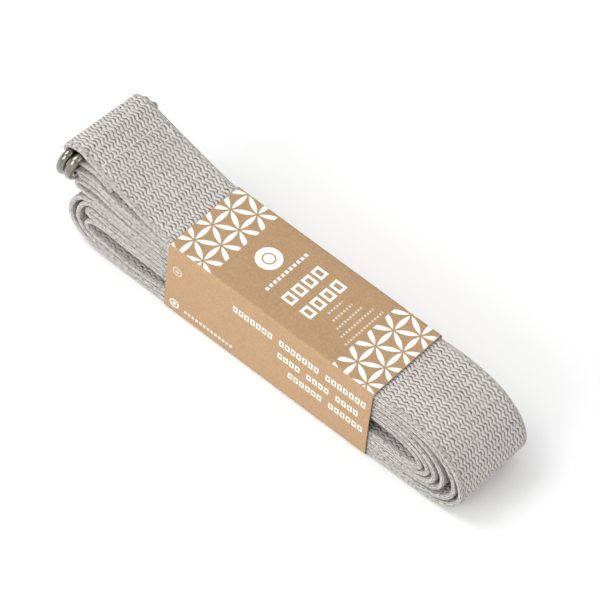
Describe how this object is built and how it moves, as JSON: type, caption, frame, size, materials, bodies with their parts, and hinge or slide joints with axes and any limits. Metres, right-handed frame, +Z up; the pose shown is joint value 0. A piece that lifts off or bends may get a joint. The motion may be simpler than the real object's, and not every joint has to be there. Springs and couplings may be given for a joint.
{
  "type": "stretching strap",
  "caption": "Woven cotton stretching strap folded flat into a hank, with D-rings in a sewn loop at one end and a printed card sleeve round its middle.",
  "frame": {"origin": "centre of the bounding box in plan, on the surface that the folded strap lies on", "axes": "+X towards the plain folded end, along the strap; -X towards the rings; +Z up; -Y the side with the printed side panel"},
  "size_m": [0.203, 0.0472, 0.0509],
  "materials": {
    "cotton": "matte, coarse plain weave",
    "thread": "matte",
    "nickel": "polished",
    "card": "matte, printed in white"
  },
  "bodies": {
    "strap": {"webbing_strap": "cotton", "loop_seam_top": "thread", "loop_seam_under": "thread", "hem_seam_top": "thread", "hem_seam_under": "thread"},
    "outer_ring": {"outer_d_ring": "nickel"},
    "inner_ring": {"inner_d_ring": "nickel"},
    "sleeve": {"card_sleeve": "card"}
  },
  "joints": [
    {"name": "outer_ring_swing", "type": "hinge", "parent": "strap", "child": "outer_ring", "pos_m": [-0.09309, 0.00019, 0.0455], "axis": [0.0436, 0.9981, -0.0436], "range_deg": [0, 80]},
    {"name": "inner_ring_swing", "type": "hinge", "parent": "strap", "child": "inner_ring", "pos_m": [-0.08879, 0.00003, 0.0461], "axis": [0.0436, 0.9981, -0.0436], "range_deg": [-1, 0]},
    {"name": "sleeve_slide", "type": "slide", "parent": "strap", "child": "sleeve", "axis": [1, 0, 0], "range_m": [0, 0.15]}
  ]
}
